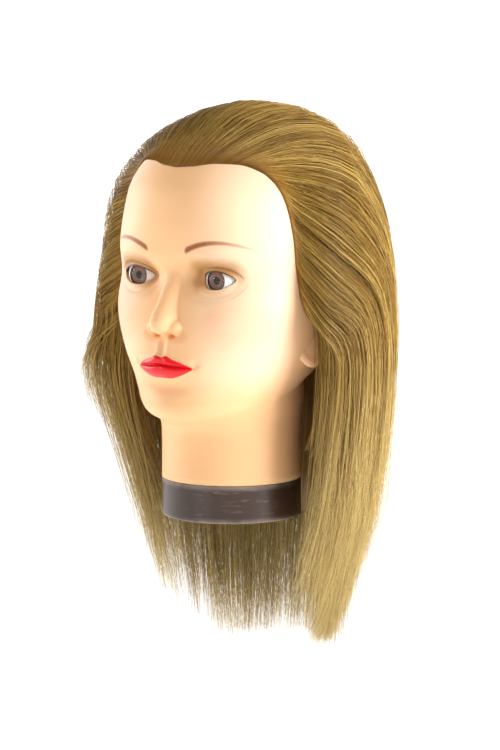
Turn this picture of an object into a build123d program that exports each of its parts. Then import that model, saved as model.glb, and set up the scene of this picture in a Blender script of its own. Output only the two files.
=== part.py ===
"""Hairdresser's training head: a soft vinyl head over rigid foam, rooted hair, inset eyes and a clamp socket.

Frame: millimetres, +Z up, the face looks along -Y and its left side is +X.
The origin is the middle of the clamp socket's mouth, on the flat underside of the neck's base.
"""
from build123d import *
from math import cos, pi, radians, sin, sqrt
import os

# ---- driving dimensions -------------------------------------------------------------------------
head_breadth = 146.0        # ear to ear, bare scalp
head_front = 76.0           # forehead, ahead of the neck's axis
head_back = 105.5           # back of the skull, behind the neck's axis
chin_height = 71.0          # underside of the chin above the base
crown_height = 275.0        # bare crown above the base
neck_radius = 48.0
skin_wall = 3.0             # soft vinyl

base_height = 26.0          # visible band of the base cap
base_wall = 4.0
base_floor = 3.0
socket_bore_radius = 13.0   # takes the post of a bench clamp
socket_depth = 95.0
socket_wall = 3.0
socket_flange = 4.0         # thickness of the socket's flange
boss_radius = 5.0
boss_height = 14.0
screw_count = 4
screw_radius = 1.9
screw_head_radius = 3.6
screw_length = 15.0
boss_margin = 1.8            # from the screw bosses to the skin beside them

eye_radius = 13.9
eye_wall = 4.4
eye_spacing = 66.0          # between the two eye centres
eye_level = 168.5
eye_depth = 3.6             # the eye's front behind the bridge of the nose
eye_opening_width = 28.0
eye_opening_height = 12.5
lid_thickness = 1.6
iris_radius = 6.9
iris_thickness = 0.6
cornea_bulge = 0.9          # the cornea's apex beyond the white

nose_length = 40.0
nose_projection = 13.0
nose_width = 25.0
mouth_level = 108.0
mouth_width = 45.0
lip_height = 15.0
lip_projection = 4.5
ear_height = 58.0
ear_width = 32.0
ear_projection = 13.0
ear_level = 135.0
ear_setback = 3.0           # the ear's middle behind the neck's axis

hairline_height = 247.0     # at the middle of the forehead
hairline_side = 18.0        # the hairline before the ears, ahead of the neck's axis
hairline_corner = 34.0      # rounding of the hairline at the temples
hair_drop = 102.0           # the tips hang this far below the base
hair_crown_lift = 9.0       # thickness of the hair on the crown
curtain_thickness = 30.0    # thickness of the hair where it hangs free
seal_thickness = 0.8        # latex that locks the hair roots inside the scalp

# ---- fits ---------------------------------------------------------------------------------------
fit_gap = 0.2               # between pieces that are glued or moulded together
foam_gap = 0.4              # between the foam and the vinyl
hair_gap = 0.8              # between the scalp and the inside of the hair
screw_gap = 0.05

SECTION_POINTS = 24
half_breadth = head_breadth / 2
shoulder_radius = neck_radius - base_wall - fit_gap     # the skin's spigot inside the base cap
screw_circle_radius = shoulder_radius - skin_wall - boss_margin - boss_radius
flange_top = base_floor + fit_gap + socket_flange
spigot_foot = flange_top + fit_gap
socket_tube_radius = socket_bore_radius + socket_wall
skin_foot = base_height + fit_gap


# ---- curved forms -------------------------------------------------------------------------------
def section(width, front, back, squareness, z_front, z_back):
    """A closed oval in a plane that may tilt about X: a superellipse in front and an ellipse behind."""
    middle = (front + back) / 2
    points = []
    for i in range(SECTION_POINTS):
        angle = 2 * pi * i / SECTION_POINTS
        s, c = sin(angle), cos(angle)
        power = squareness if c > 0 else 2.0
        depth = middle - front if c > 0 else back - middle
        reach = (abs(s / width) ** power + abs(c / depth) ** power) ** (-1 / power)
        y = middle - reach * c
        rise = (z_back - z_front) * (y - front) / (back - front)
        points.append((reach * s, y, z_front + rise))
    return Wire(Edge.make_spline([Vector(p) for p in points], periodic=True))


def skull(offset=0.0):
    """The head without its neck, as a loft of tilted ovals from the jaw up to the crown."""
    tall = crown_height - chin_height
    # share of the height in front and behind, share of the half breadth, of the front, of the back, squareness
    stations = [
        (0.000, 0.150, 0.60, 0.86, 0.48, 2.0),
        (0.050, 0.180, 0.74, 0.98, 0.66, 1.9),
        (0.115, 0.230, 0.84, 0.985, 0.75, 2.0),
        (0.200, 0.290, 0.925, 0.995, 0.82, 2.25),
        (0.300, 0.370, 0.98, 0.98, 0.88, 2.5),
        (0.390, 0.440, 1.00, 0.94, 0.94, 2.75),
        (0.480, 0.510, 1.00, 0.875, 0.975, 2.85),
        (0.570, 0.590, 1.00, 0.955, 1.00, 2.6),
        (0.660, 0.670, 0.99, 0.99, 1.00, 2.3),
        (0.755, 0.755, 0.965, 0.955, 0.967, 2.15),
        (0.845, 0.845, 0.86, 0.80, 0.88, 2.1),
        (0.912, 0.912, 0.69, 0.56, 0.74, 2.0),
        (0.960, 0.960, 0.47, 0.24, 0.57, 2.0),
        (0.990, 0.990, 0.23, -0.07, 0.39, 2.0),
        (1.000, 1.000, 0.06, -0.24, 0.27, 2.0),
    ]
    wires = []
    for low, high, width, front, back, squareness in stations:
        shrink = offset * (1 - 2 * low)         # the caps at jaw and crown move along Z as well
        wires.append(section(
            half_breadth * width + offset, -head_front * front - offset, head_back * back + offset,
            squareness, chin_height + tall * low - shrink, chin_height + tall * high - shrink))
    return Solid.make_loft(wires)


def upright(radius, foot, top):
    """A cylinder on the neck's axis."""
    return Pos(0, 0, foot) * Cylinder(radius, top - foot, align=(Align.CENTER, Align.CENTER, Align.MIN))


def neck(offset=0.0, foot=skin_foot):
    return upright(neck_radius + offset, foot, mouth_level + nose_length)


def ellipsoid(x, y, z, rx, ry, rz):
    return Pos(x, y, z) * scale(Sphere(1), by=(rx, ry, rz))


def face_y(level):
    """How far forward the middle of the face is, at eye level, at the mouth and at the base of the nose."""
    return -head_front * {"eyes": 0.875, "mouth": 1.0, "nose": 0.985}[level]


# ---- eyes ---------------------------------------------------------------------------------------
eye_y = face_y("eyes") + eye_depth + eye_radius
iris_plane = sqrt(eye_radius ** 2 - iris_radius ** 2) - iris_thickness - 0.8
pocket_radius = iris_radius + 0.1


def eye_centre(side):
    return Pos(side * eye_spacing / 2, eye_y, eye_level)


def along_gaze(radius, start, end):
    """A cylinder along the line of sight, from one distance to another ahead of the eye's centre."""
    rod = Cylinder(radius, end - start, align=(Align.CENTER, Align.CENTER, Align.MIN))
    return Rot(90, 0, 0) * (Pos(0, 0, start) * rod)


def eye_white(side):
    """A domed shell with a flat pocket for the iris."""
    shell = Sphere(eye_radius) - Sphere(eye_radius - eye_wall)
    shell -= Pos(0, eye_radius, 0) * Box(3 * eye_radius, eye_radius, 3 * eye_radius)
    shell -= along_gaze(pocket_radius, iris_plane, 2 * eye_radius)
    return eye_centre(side) * shell


def eye_iris(side):
    return eye_centre(side) * along_gaze(iris_radius, iris_plane + 0.05, iris_plane + 0.05 + iris_thickness)


def eye_cornea(side):
    """A clear plano-convex dome over the iris."""
    base = iris_plane + iris_thickness + 0.1
    rim = sqrt(eye_radius ** 2 - iris_radius ** 2)
    rise = eye_radius + cornea_bulge - rim
    dome_radius = (iris_radius ** 2 + rise ** 2) / (2 * rise)
    dome = Pos(0, -(rim + rise - dome_radius), 0) * Sphere(dome_radius)
    return eye_centre(side) * (along_gaze(iris_radius, base, 2 * eye_radius) & dome)


def eye_opening(side):
    """The almond opening between the lids, cut through the skin along the line of sight."""
    almond = Ellipse(eye_opening_width / 2, eye_opening_height / 2)
    return eye_centre(side) * (Rot(90, 0, 0) * extrude(almond, 3 * eye_radius))


def eyelids(side):
    """The rounded swelling of the two lids, before the eye and the opening are cut from it."""
    return eye_centre(side) * Sphere(eye_radius + fit_gap + lid_thickness)


def eye_void(side):
    """The room that the eye takes in the skin and the foam."""
    return eye_centre(side) * Sphere(eye_radius + fit_gap)


# ---- face and ears ------------------------------------------------------------------------------
def nose():
    """A loft of ovals from the rounded base of the nose up to its bridge between the eyes."""
    foot = mouth_level + 0.6 * nose_length
    back = face_y("nose") + nose_projection
    # share of the length above the base, share of the half width, share of the projection
    stations = [(-0.06, 0.35, 0.40), (0.00, 0.78, 0.76), (0.10, 0.98, 0.96), (0.24, 1.00, 1.00), (0.40, 0.84, 0.88),
                (0.62, 0.62, 0.46), (0.82, 0.52, -0.02), (1.02, 0.50, -0.42)]
    return Solid.make_loft([
        section(nose_width / 2 * wide, face_y("nose") - nose_projection * reach, back, 2.0,
                foot + nose_length * share, foot + nose_length * share)
        for share, wide, reach in stations])


def lips():
    """Upper and lower lip as two flattened rolls that meet at the mouth's line."""
    upper, lower = 0.4 * lip_height, 0.6 * lip_height
    y = face_y("mouth") + lip_projection
    top = ellipsoid(0, y, mouth_level + upper * 0.5, mouth_width / 2, 2 * lip_projection, upper * 0.7)
    bottom = ellipsoid(0, y, mouth_level - lower * 0.45, mouth_width / 2.4, 2 * lip_projection, lower * 0.6)
    return top + bottom


def ear(side, grow=0.0):
    """A flattened shell with a hollow concha, set close to the head and a little tilted."""
    tall, wide = ear_height / 2 + grow, ear_width / 2 + grow
    body = scale(Sphere(1), by=(ear_projection * 0.7 + grow, wide, tall))
    if not grow:
        body -= Pos(side * ear_projection * 0.72, 0, 3) * scale(Sphere(1), by=(ear_projection / 2, wide / 2, tall / 2))
    place = Pos(side * (half_breadth * 0.965 - 1), ear_setback, ear_level) * Rot(-10, 0, side * 18)
    return place * body


def head_outside():
    return skull() + neck() + nose() + lips() + ear(1) + ear(-1) + eyelids(1) + eyelids(-1)


def head_inside(offset):
    """The skin's inner wall, or the foam's outer wall for a deeper offset."""
    return skull(-offset) + neck(-offset, skin_foot + skin_wall)


def head_skin():
    """Soft vinyl shell of face, scalp, ears and neck, with a spigot that goes into the base cap."""
    spigot = upright(shoulder_radius, spigot_foot, skin_foot + skin_wall)
    hollow = head_inside(skin_wall) + upright(shoulder_radius - skin_wall, 0, skin_foot + skin_wall + 1)
    shell = head_outside() + spigot - hollow
    for side in (-1, 1):
        shell = shell - eye_void(side) - eye_opening(side)
    return shell


# ---- foam, socket and base ----------------------------------------------------------------------
def scalp_side(drop=0.0):
    """Everything above the sloping edge of the rooted scalp, from the forehead down to the nape."""
    reach = 3 * head_breadth
    return Pos(0, 0, eye_level + 20 - drop) * Rot(-34, 0, 0) * Box(
        reach, reach, reach, align=(Align.CENTER, Align.CENTER, Align.MIN))


def root_seal():
    """Latex layer brushed inside the scalp, over the ends of the hair roots."""
    outer = skull(-skin_wall - fit_gap)
    inner = skull(-skin_wall - fit_gap - seal_thickness)
    return (outer & scalp_side()) - inner


def foam_core():
    """Rigid foam that fills the head, moulded round the clamp socket and the backs of the eyes."""
    full = head_inside(skin_wall + foam_gap)
    scalp = skull(-skin_wall - 2 * fit_gap - seal_thickness)
    sealed_edge = scalp_side(fit_gap)
    core = (full - sealed_edge) + (scalp & sealed_edge)
    core += upright(shoulder_radius - skin_wall - fit_gap, flange_top + fit_gap, skin_foot + skin_wall + 2)
    core -= upright(socket_tube_radius + fit_gap, -1, socket_depth + socket_wall + fit_gap)
    for x, y in screw_places():
        core -= Pos(x, y, 0) * upright(boss_radius + fit_gap, 0, flange_top + boss_height + fit_gap)
    for side in (-1, 1):
        core -= eye_void(side)
        core -= eye_centre(side) * along_gaze(eye_radius + fit_gap + lid_thickness, 0, 3 * eye_radius)
    return core


def screw_places():
    for i in range(screw_count):
        angle = radians(45 + 360 * i / screw_count)
        yield screw_circle_radius * cos(angle), screw_circle_radius * sin(angle)


def clamp_socket():
    """Blind tube for the clamp's post, with a flange and four screw bosses that lock into the foam."""
    body = upright(socket_tube_radius, 0, socket_depth + socket_wall)
    body += upright(shoulder_radius, base_floor + fit_gap, flange_top)
    for x, y in screw_places():
        body += Pos(x, y, 0) * upright(boss_radius, flange_top - 1, flange_top + boss_height)
        body -= Pos(x, y, 0) * upright(screw_radius + screw_gap, 0, screw_length + 1)
    return body - upright(socket_bore_radius, -1, socket_depth)


def base_cap():
    """Dark plastic cap that forms the visible band round the foot of the neck."""
    cup = upright(neck_radius, 0, base_height) - upright(neck_radius - base_wall, base_floor, base_height + 1)
    rounding = min(2.0, base_wall / 2)
    cup = fillet(cup.edges().filter_by(GeomType.CIRCLE).group_by(Axis.Z)[0].sort_by(SortBy.RADIUS)[-1], rounding)
    cup -= upright(socket_tube_radius + fit_gap, -1, base_floor + 1)
    for x, y in screw_places():
        cup -= Pos(x, y, 0) * upright(screw_radius + fit_gap, -1, base_floor + 1)
        cup -= Pos(x, y, 0) * countersink(fit_gap / 2)
    return cup


def countersink(grow=0.0):
    """The cone of a flat screw head whose face is level with the base."""
    depth = screw_head_radius - screw_radius
    return Cone(screw_head_radius + grow, screw_radius + grow, depth,
                align=(Align.CENTER, Align.CENTER, Align.MIN))


def base_screws():
    """Flat-head self-tapping screws with a cross recess."""
    driver = Box(4.2, 1.0, 2.4) + Box(1.0, 4.2, 2.4)
    screw = countersink() + upright(screw_radius, 0, screw_length) - driver
    return [Pos(x, y, 0) * screw for x, y in screw_places()]


# ---- hair ---------------------------------------------------------------------------------------
def hair_outside():
    """The hair's full outline, from the lift over the crown to the ragged tips below the base."""
    top = crown_height + hair_crown_lift
    # height, half width beyond the skull, depth behind the skull, depth ahead of the skull
    stations = [
        (top, -69, -78, -95), (top - 0.4, -63, -72, -88), (top - 1.6, -54, -61, -78), (top - 6, -36, -42, -58),
        (top - 17, -13, -20, -30), (top - 34, 5, 1, -12),
        (top - 55, 16, 12, -3), (top - 77, 22, 17, 0), (top - 102, 26, 20, 2), (top - 137, 32, 22, 3),
        (top - 174, 38, 23, 4), (top - 191, 39, 22, 3), (top - 211, 33, 17, 1), (top - 237, 19, 9, -5),
        (top - 262, 14, 4, -12), (top - 288, 10, 0, -20), (-hair_drop * 0.42, -4, -8, -40),
        (-hair_drop * 0.74, -20, -18, -90), (-hair_drop, -50, -36, -126)]
    wires = [section(half_breadth + side, -head_front - front, head_back + back, 2.0, z, z)
             for z, side, back, front in reversed(stations)]
    return Solid.make_loft(wires)


def hair_inside():
    """The room inside the hair: the scalp, the ears and the free space round the neck."""
    under_lobe = ear_level - ear_height * 0.6
    curtain = -curtain_thickness
    # height, half width beyond the skull, depth behind the skull
    stations = [
        (ear_level, -14, -20), (under_lobe, 34 + curtain, 22 + curtain), (neck_radius, 22 + curtain, 12 + curtain),
        (0, 13 + curtain, 4 + curtain), (-hair_drop - 1, 6 + curtain, 0 + curtain)]
    wires = [section(half_breadth + side, -head_front, head_back + back, 2.0, z, z)
             for z, side, back in reversed(stations)]
    room = Solid.make_loft(wires, ruled=True) + skull(hair_gap)
    return room + ear(1, 1.5) + ear(-1, 1.5)


def face_window():
    """Everything ahead of the hairline, as a slab across the head with a rounded upper corner."""
    reach = 3 * head_breadth
    low = -hair_drop - reach
    slab = Pos(-hairline_side - reach / 2, (hairline_height + low) / 2) * Rectangle(reach, hairline_height - low)
    slab = fillet(slab.vertices().sort_by(Axis.X)[-2:].sort_by(Axis.Y)[-1], hairline_corner)
    return extrude(Plane.YZ * slab, reach / 2, both=True)


def wedge(start, end, floor, ceiling):
    """A sector round the neck's axis, by angles from +Y towards +X, in degrees."""
    reach = 4 * head_breadth
    middle = (start + end) / 2
    corners = [(0, 0)] + [(reach * sin(radians(a)), reach * cos(radians(a))) for a in (start, middle, end)]
    return extrude(Pos(0, 0, floor) * make_face(Polyline(*corners, close=True)), ceiling - floor)


def hair_locks():
    """The hair as combed sections: the crown, two sides, two rear panels and the nape."""
    mass = hair_outside() - hair_inside() - face_window()
    part_line = hairline_height - hairline_corner
    floor, ceiling = -hair_drop - 5, crown_height + hair_crown_lift + 5
    sectors = {"hair_nape": (-28, 28), "hair_rear_left": (28, 68), "hair_rear_right": (-68, -28),
               "hair_side_left": (68, 130), "hair_side_right": (-130, -68)}
    locks = {name: mass & wedge(start, end, floor, part_line) for name, (start, end) in sectors.items()}
    slab = Pos(0, 0, part_line) * Box(
        4 * head_breadth, 4 * head_breadth, ceiling - part_line, align=(Align.CENTER, Align.CENTER, Align.MIN))
    locks["hair_crown"] = mass & slab
    return locks


def main():
    nodes = {
        "head_skin": head_skin(),
        "foam_core": foam_core(),
        "root_seal": root_seal(),
        "clamp_socket": clamp_socket(),
        "base_cap": base_cap(),
        "base_screws": Compound(base_screws()),
    }
    for name, side in (("left", 1), ("right", -1)):
        nodes[f"eye_white_{name}"] = eye_white(side)
        nodes[f"eye_iris_{name}"] = eye_iris(side)
        nodes[f"eye_cornea_{name}"] = eye_cornea(side)
    nodes.update(hair_locks())
    os.makedirs("parts", exist_ok=True)
    for name, shape in nodes.items():
        export_step(shape, f"parts/{name}.step")
        print(name, round(shape.volume), len(shape.solids()))


main()
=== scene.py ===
# %% [markdown]
# # A hairdresser's training head
#
# The object is a soft vinyl head with rooted hair, made for practising cuts and colour. The CAD model already holds its
# real pieces: skin, foam, eyes, base cap, clamp socket and screws. Here the skin gets its face, the eyes their depth,
# the hair its strands, and every surface a procedural finish. Lengths are in millimetres, in the frame of the CAD
# model: +Z up, the face looks along -Y, the head's own left is +X. Finishes alone measure in metres.

import bpy
import numpy as np
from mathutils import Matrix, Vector


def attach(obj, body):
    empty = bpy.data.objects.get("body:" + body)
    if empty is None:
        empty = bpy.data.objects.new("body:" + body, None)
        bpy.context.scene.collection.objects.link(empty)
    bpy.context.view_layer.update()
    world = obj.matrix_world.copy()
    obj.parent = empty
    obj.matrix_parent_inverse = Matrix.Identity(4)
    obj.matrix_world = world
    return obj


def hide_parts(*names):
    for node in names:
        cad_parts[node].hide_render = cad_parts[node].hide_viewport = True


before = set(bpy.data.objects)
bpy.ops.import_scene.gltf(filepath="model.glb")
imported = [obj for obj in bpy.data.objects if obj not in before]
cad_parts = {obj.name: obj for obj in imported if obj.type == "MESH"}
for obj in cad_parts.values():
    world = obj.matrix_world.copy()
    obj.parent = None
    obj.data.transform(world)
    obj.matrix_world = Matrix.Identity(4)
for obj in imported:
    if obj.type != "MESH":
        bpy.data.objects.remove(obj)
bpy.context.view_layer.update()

MM = 0.001
print("nodes", sorted(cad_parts))

# %% [markdown]
# ## From numbers to meshes
#
# Most pieces are a sheet of points with rows and columns, and each small square between four points is a face. A
# formula over such a grid keeps every curve exact and every seam closed. `closed_tube` joins the last column to the
# first and closes each end with a fan of triangles.


# %% A sheet of points becomes a piece
def add_object(name, data):
    """A new object in the scene that shows this data."""
    thing = bpy.data.objects.new(name, data)
    bpy.context.scene.collection.objects.link(thing)
    return thing


def add_piece(name, points, faces, materials=(), uv=None, slot="skin_vinyl", stands_for=("head_skin",)):
    """Puts points in mm and faces of three or four corners into one mesh that rides on the head."""
    mesh = bpy.data.meshes.new(name)
    corners = np.concatenate([f.ravel() for f in faces]).astype(np.int32)
    sizes = np.concatenate([np.full(len(f), f.shape[1]) for f in faces])
    mesh.vertices.add(len(points))
    mesh.vertices.foreach_set("co", (points * MM).astype(np.float32).ravel())
    mesh.loops.add(len(corners))
    mesh.polygons.add(len(sizes))
    mesh.polygons.foreach_set("loop_start", np.concatenate([[0], np.cumsum(sizes)[:-1]]).astype(np.int32))
    mesh.polygons.foreach_set("vertices", corners)
    mesh.update(calc_edges=True)
    if uv is not None:
        layer = mesh.uv_layers.new(name="OFBake")
        layer.data.foreach_set("uv", uv[corners].astype(np.float32).ravel())
    mesh.shade_smooth()
    for material in materials:
        mesh.materials.append(material)
    piece = add_object(name, mesh)
    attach(piece, "root")
    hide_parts(*stands_for)
    print(name, len(points), "points,", int((sizes - 2).sum()), "triangles")
    return piece


def sheet_faces(rows, columns, ring=False):
    """Quads between neighbouring points; a ring also joins the last column to the first."""
    index = np.arange(rows * columns).reshape(rows, columns)
    if ring:
        index = np.concatenate([index, index[:, :1]], axis=1)
    return [np.stack([index[:-1, :-1], index[:-1, 1:], index[1:, 1:], index[1:, :-1]], axis=-1).reshape(-1, 4)]


def closed_tube(grid):
    """Points and faces of a tube whose two ends are closed by fans to the middles of its end rows."""
    rows, columns = grid.shape[:2]
    here = np.arange(columns)
    following = np.roll(here, -1)
    last, middle = (rows - 1) * columns, np.full(columns, rows * columns)
    fans = [np.stack([following, here, middle], axis=-1),
            np.stack([last + here, last + following, middle + 1], axis=-1)]
    points = np.concatenate([grid.reshape(-1, 3), grid[[0, -1]].mean(axis=1)])
    return points, sheet_faces(rows, columns, ring=True) + fans


def full_turn(steps):
    """Angles of a whole turn as one row, without the last, which is the first again."""
    return np.linspace(0, 2 * np.pi, steps, endpoint=False)[None, :]


def hump(value, middle, width):
    """A soft rise to 1 at the middle: e to the power of minus the square of the distance over the width."""
    return np.exp(-((value - middle) / width) ** 2)


def smooth_step(low, high, value):
    """0 below low, 1 above high, and an S-shaped ramp between them."""
    t = np.clip((value - low) / (high - low), 0, 1)
    return t * t * (3 - 2 * t)


# %% [markdown]
# ## The form of the head
#
# The moulded head is a stack of tilted oval slices, as a sculptor would block it out. Each slice is a superellipse in
# front and a plain ellipse behind, and its tilt near the jaw makes the jaw rise towards the ears. The same stations
# shaped the CAD skin, so the finished face fits over the same foam and inside the same hair.

# %% Slices of the head, from the neck to the crown
HEAD = np.array([
    # height in front, height behind, half width, front, back, squareness
    (26.3, 26.3, 47.9, -47.9, 47.9, 2),
    (44, 50, 47.8, -47.8, 47.9, 2),
    (58, 76, 48.2, -48.2, 49, 2),
    (66, 90, 49.8, -51.5, 51, 2),
    (69.3, 98.5, 50.4, -58.5, 51.5, 1.95),
    (72, 101.5, 50.9, -66.5, 53, 1.9),
    (76, 104, 52.5, -72, 60, 1.9),
    (84, 109, 56.5, -74.6, 69.5, 1.9),
    (95, 118, 61.5, -74.6, 79, 2),
    (112, 130, 67.5, -75.4, 86.5, 2.25),
    (132, 146.5, 71.5, -74.5, 92.8, 2.5),
    (150.5, 161, 73, -71.5, 99.2, 2.75),
    (169, 175, 73, -66.5, 103, 2.85),
    (187.5, 191.5, 73, -72.6, 105.5, 2.6),
    (205.6, 207.7, 72.3, -75.3, 105.5, 2.3),
    (225, 225, 70.4, -72.6, 102, 2.15),
    (243.4, 243.4, 62.8, -60.8, 92.8, 2.1),
    (257, 257, 50.4, -42.6, 78, 2),
    (266.8, 266.8, 34.3, -18.2, 60, 2),
    (273, 273, 16.8, 5.3, 41, 2),
    (275, 275, 0.8, 21, 24, 2),
])


def through(stations, t):
    """A smooth curve through rows of numbers: a cubic between each two, with slopes that never overshoot."""
    step = np.diff(stations, axis=0)
    rising = step[1:] * step[:-1] > 0
    total = np.where(rising, step[1:] + step[:-1], 1.0)
    slope = np.zeros_like(stations)
    slope[1:-1] = np.where(rising, 2 * step[1:] * step[:-1] / total, 0.0)
    slope[0], slope[-1] = step[0], step[-1]
    i = np.clip(np.floor(t).astype(int), 0, len(stations) - 2)
    u = (t - i)[..., None]
    return (stations[i] * (1 + 2 * u) * (1 - u) ** 2 + slope[i] * u * (1 - u) ** 2
            + stations[i + 1] * u * u * (3 - 2 * u) - slope[i + 1] * u * u * (1 - u))


def oval(station, angle):
    """A point of a tilted oval; the angle runs from the front towards +X."""
    low, high, width, front, back, power = np.moveaxis(station, -1, 0)
    sine, cosine = np.sin(angle), np.cos(angle)
    middle = (front + back) / 2
    depth = np.where(cosine > 0, middle - front, back - middle)
    power = np.where(cosine > 0, power, 2.0)
    reach = (np.abs(sine / width) ** power + np.abs(cosine / depth) ** power) ** (-1 / power)
    y = middle - reach * cosine
    return np.stack([reach * sine, y, low + (high - low) * (y - front) / (back - front)], axis=-1)


def station_at(stations, z, y):
    """The slice that passes through a height and a depth, found by three rounds of correction for the tilt."""
    t = np.interp(z, stations[:, 0], np.arange(len(stations)))
    for _ in range(3):
        s = through(stations, t)
        lift = (s[..., 1] - s[..., 0]) * np.clip((y - s[..., 3]) / (s[..., 4] - s[..., 3]), 0, 1)
        t = np.interp(z - lift, stations[:, 0], np.arange(len(stations)))
    return through(stations, t)


FACE_Y = -65.0


def front_of(x, z):
    """How far forward the plain head is at a place on the face: the front half of its oval, solved for y."""
    s = station_at(HEAD, z, FACE_Y)
    middle = (s[..., 3] + s[..., 4]) / 2
    inside = np.clip(1 - np.abs(x / s[..., 2]) ** s[..., 5], 0, 1)
    return middle - (middle - s[..., 3]) * inside ** (1 / s[..., 5])


print("head slices", len(HEAD), "front at the chin", round(float(front_of(np.array(0.0), np.array(84.0))), 1))

# %% [markdown]
# ## The features of the face
#
# A sculptor adds soft lumps of clay and presses hollows with a thumb. The formula does the same: each feature is a
# dome or a soft rise in front of the face, a hollow is a rise below zero, and a smooth maximum melts the nose in. One
# continuous surface stays, where a separate nose would leave a seam.

# %% Clay lumps and thumb hollows
EYE_X, EYE_Y, EYE_Z = 33.0, -49.0, 168.5
EYE_RADIUS = 13.9
MOUTH_Z = 111.2
MOUTH_HALF = 23.0
FORMS = (
    # rise (a hollow is below zero), x and z of the middle, half width, half height
    (-3.6, 31, 171, 15, 9),  # eye socket
    (-3.2, 16, 169, 6.5, 8),  # its corner by the nose
    (1.3, 31, 187, 16, 6),  # brow
    (1.6, 42, 143, 15, 13),  # cheekbone
    (-1.5, 40, 112, 12, 14),  # hollow of the cheek
    (2.9, 0, MOUTH_Z + 1, 23, 14),  # mouth as a whole
    (-3.2, 0, MOUTH_Z - 14.5, 17, 5.0),  # hollow under the lips
    (1.6, 0, 82, 15, 9),  # chin
)
DETAILS = (
    (-5.0, 5.3, 131.4, 2.7, 1.5),  # nostril
    (-0.9, 0, 124, 2.2, 5.5),  # groove over the lips
    (0.5, 4.2, 123, 1.8, 5.5),  # edge of that groove
    (-1.4, MOUTH_HALF + 0.8, MOUTH_Z + 0.6, 2.4, 2.4),  # corner of the mouth
)
NOSE_AHEAD = ((126, 129, 130.6, 132, 134, 137, 141, 145, 150, 158, 165, 172, 178, 186),
              (60, 70, 76, 80.6, 84.2, 86.6, 87.0, 84.8, 80.6, 75.2, 70.8, 67.6, 64.0, 20.0))
NOSE_HALF = ((126, 130, 134, 139, 145, 150, 158, 165, 178), (5, 7, 9.5, 10.6, 9.8, 8.6, 7.6, 7.2, 7))


def melt(a, b, softness):
    """A smooth maximum: where a and b are close, the join is rounded over that softness in mm."""
    near = np.maximum(softness - np.abs(a - b), 0) / softness
    return np.maximum(a, b) + near ** 2 * softness / 4


def clay(side, z, lumps):
    """The sum of soft oval lumps: rise times a hump across times a hump up."""
    return sum(rise * hump(side, x, half_x) * hump(z, up, half_z) for rise, x, up, half_x, half_z in lumps)


def dome(x, z, cx, cz, rx, rz, middle, rise):
    """The front of an ellipsoid: middle plus rise times the root of one minus the squared distance."""
    inside = 1 - ((x - cx) / rx) ** 2 - ((z - cz) / rz) ** 2
    return np.where(inside > 0, middle + rise * np.sqrt(np.clip(inside, 0, 1)), middle + rise * inside * 2)


def lip_edges(x):
    """Heights of the lips' outline above and below the mouth's line: a bow above and a full curve below."""
    t = np.clip(np.abs(x) / MOUTH_HALF, 0, 1)
    upper = 5.6 * (1 - t ** 1.9) + 1.1 * hump(np.abs(x), 5.2, 3.0) - 0.9 * hump(x, 0, 2.4)
    lower = 9.4 * (1 - t ** 2.1) ** 0.95
    return np.where(t < 1, upper * smooth_step(1.0, 0.9, t), 0), lower


def mouth_line(x):
    """The line between the lips: a shallow wave that droops slightly at the corners."""
    return MOUTH_Z + 0.5 * np.cos(np.pi * x / 11) * hump(x, 0, 9) - 1.8 * (np.abs(x) / MOUTH_HALF) ** 2


def features(x, y, z):
    """The face's depth at a place, from the plain head's depth there."""
    side = np.abs(x)
    ahead = clay(side, z, FORMS) - y
    ridge = np.interp(z, *NOSE_AHEAD)
    base = np.minimum(ahead - 3, ridge)
    inside = np.clip(1 - (side / np.interp(z, *NOSE_HALF)) ** 2.2, -1, 1)
    nose = base + (ridge - base) * np.sign(inside) * np.abs(inside) ** 0.62
    ahead = melt(ahead, nose, 4.0)
    wing = dome(side, z, 9.2, 136.2, 5.4, 6.0, 70.5, 9.3)
    ahead = melt(ahead, wing, 2.6) + clay(side, z, DETAILS)
    upper, lower = lip_edges(x)
    above = z - mouth_line(x)
    across = np.sqrt(np.clip(1 - (side / (MOUTH_HALF + 1)) ** 2, 0, 1))
    top = np.clip(above / np.maximum(upper, 0.3), 0, 1.6)
    low = np.clip(-above / np.maximum(lower, 0.3), 0, 1.6)
    ahead = ahead + across * np.where(above > 0, 2.4 * np.clip(1 - (top - 0.42) ** 2 * 1.55, 0, 1),
                                      3.2 * np.clip(1 - (low - 0.5) ** 2 * 2.0, 0, 1))
    return 2.0 * across ** 0.7 * hump(above, 0, 0.8) - ahead


def face(x, z):
    """The y of the finished face at a place."""
    return features(x, front_of(x, z), z)


print("nose tip", round(float(face(np.array([0.0]), np.array([141.0]))[0]), 1))

# %% [markdown]
# ## Finishes as expressions
#
# A finish is arithmetic on a few patterns: masks, noise and ramps. As nodes written one by one this is hard to read,
# so a small class wraps a socket and lets signs such as + and * add the Math nodes.


# %% Arithmetic on sockets
class Value:
    """A number that varies over the surface; arithmetic on it adds Math nodes."""

    def __init__(self, finish, socket):
        self.finish = finish
        self.socket = socket

    def math(self, operation, *others):
        inputs = {i: other for i, other in enumerate((self,) + others)}
        return self.finish.node("ShaderNodeMath", {"operation": operation}, inputs)

    def __rsub__(self, other):
        return self * -1.0 + other

    def __abs__(self):
        return self.math("ABSOLUTE")

    def ramp(self, low, high):
        """0 at low and 1 at high, S-shaped between; low may be above high."""
        inputs = {"Value": self, "From Min": low, "From Max": high}
        return self.finish.node("ShaderNodeMapRange", {"interpolation_type": "SMOOTHSTEP"}, inputs)


OPERATORS = {"__add__": "ADD", "__radd__": "ADD", "__sub__": "SUBTRACT", "__mul__": "MULTIPLY",
             "__rmul__": "MULTIPLY", "__truediv__": "DIVIDE", "__pow__": "POWER"}
for sign, operation in OPERATORS.items():
    setattr(Value, sign, lambda self, other, operation=operation: self.math(operation, other))


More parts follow.
